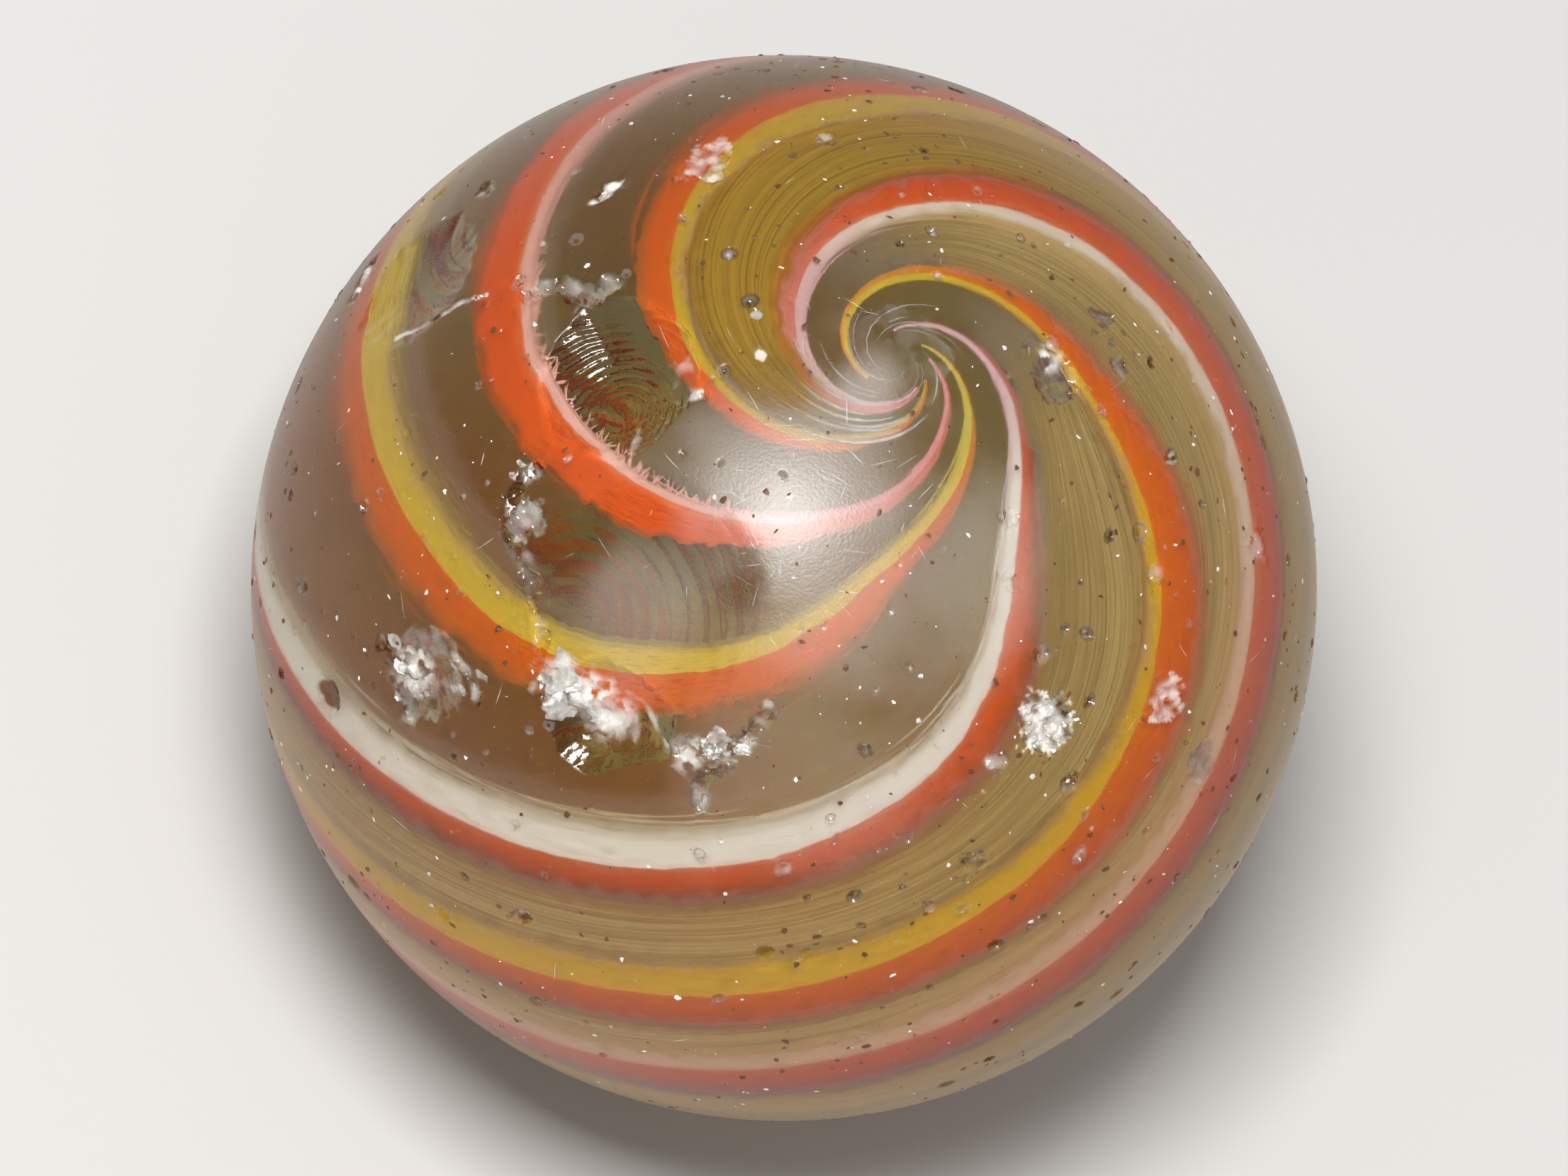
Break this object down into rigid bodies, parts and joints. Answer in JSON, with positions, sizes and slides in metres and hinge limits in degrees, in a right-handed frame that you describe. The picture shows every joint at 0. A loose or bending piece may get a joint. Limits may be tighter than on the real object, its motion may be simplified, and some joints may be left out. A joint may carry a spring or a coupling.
{
  "type": "glass marble",
  "caption": "Round clear glass marble with yellow, orange, white and red ribbons twisted just under its chipped, pitted surface.",
  "frame": {"origin": "centre of the ball", "axes": "+Z along the swirl axis, toward the finished end that the picture shows; -Y toward the viewer of the picture; +X to the viewer's right"},
  "size_m": [0.016, 0.016, 0.016],
  "materials": {
    "clear_glass": "clear with a faint smoky cast, worn dull, chipped and pitted",
    "yellow_glass": "opaque yellow strand",
    "orange_glass": "opaque orange strand",
    "white_glass": "opaque warm white strand",
    "red_glass": "opaque red strand"
  },
  "bodies": {
    "root": {"clear_glass": "clear_glass", "yellow_strand_1": "yellow_glass", "orange_strand_1": "orange_glass", "yellow_strand_3": "yellow_glass", "orange_strand_3": "orange_glass", "yellow_strand_5": "yellow_glass", "orange_strand_5": "orange_glass", "white_strand_2": "white_glass", "red_strand_2": "red_glass", "white_strand_4": "white_glass", "red_strand_4": "red_glass", "white_strand_6": "white_glass", "red_strand_6": "red_glass"}
  },
  "joints": []
}
